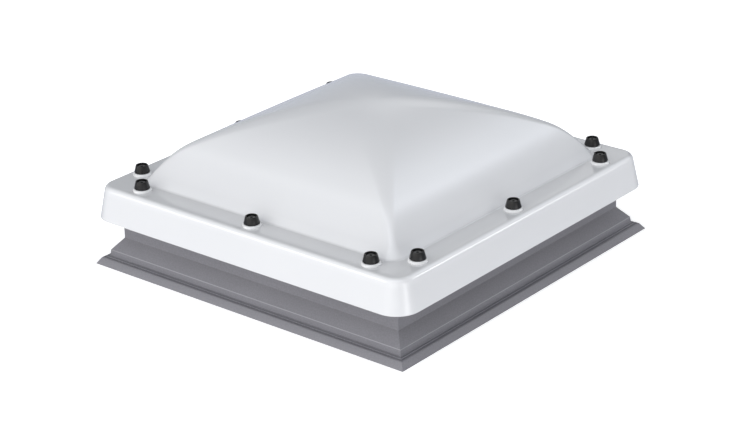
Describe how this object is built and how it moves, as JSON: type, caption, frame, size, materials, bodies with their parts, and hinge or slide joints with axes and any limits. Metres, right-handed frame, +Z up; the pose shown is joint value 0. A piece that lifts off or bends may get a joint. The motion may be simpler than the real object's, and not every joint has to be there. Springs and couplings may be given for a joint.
{
  "type": "roof skylight",
  "caption": "Fixed square dome skylight for flat roofs: double-skin opal dome with a drafted skirt, screwed to a mitred hollow kerb.",
  "frame": {"origin": "plan centre of the roof opening, on the roof deck under the kerb", "axes": "+Z up, X and Y along the sides of the square kerb, front side facing -Y"},
  "size_m": [0.794, 0.794, 0.312],
  "materials": {
    "kerb_pvc": "fine-grained grey PVC",
    "seal_rubber": "matt black EPDM",
    "rail_steel": "galvanised",
    "inner_opal": "glossy opal polycarbonate",
    "foam_tape": "closed-cell foam",
    "nylon_natural": "moulded nylon",
    "outer_opal": "glossy opal polycarbonate",
    "nylon_black": "moulded black nylon",
    "coated_stainless": "black-coated stainless steel"
  },
  "bodies": {
    "root": {"kerb_front": "kerb_pvc", "kerb_right": "kerb_pvc", "kerb_back": "kerb_pvc", "kerb_left": "kerb_pvc", "base_seal_front": "seal_rubber", "base_seal_right": "seal_rubber", "base_seal_back": "seal_rubber", "base_seal_left": "seal_rubber", "head_rail_front": "rail_steel", "head_rail_right": "rail_steel", "head_rail_back": "rail_steel", "head_rail_left": "rail_steel", "kerb_gasket_front": "seal_rubber", "kerb_gasket_right": "seal_rubber", "kerb_gasket_back": "seal_rubber", "kerb_gasket_left": "seal_rubber", "inner_dome_skin": "inner_opal", "skin_tape_front": "foam_tape", "skin_tape_right": "foam_tape", "skin_tape_back": "foam_tape", "skin_tape_left": "foam_tape", "screw_sleeves": "nylon_natural", "outer_dome_skin": "outer_opal", "sealing_washers": "seal_rubber", "conical_bushes": "nylon_black", "dome_screws": "coated_stainless"}
  },
  "joints": []
}
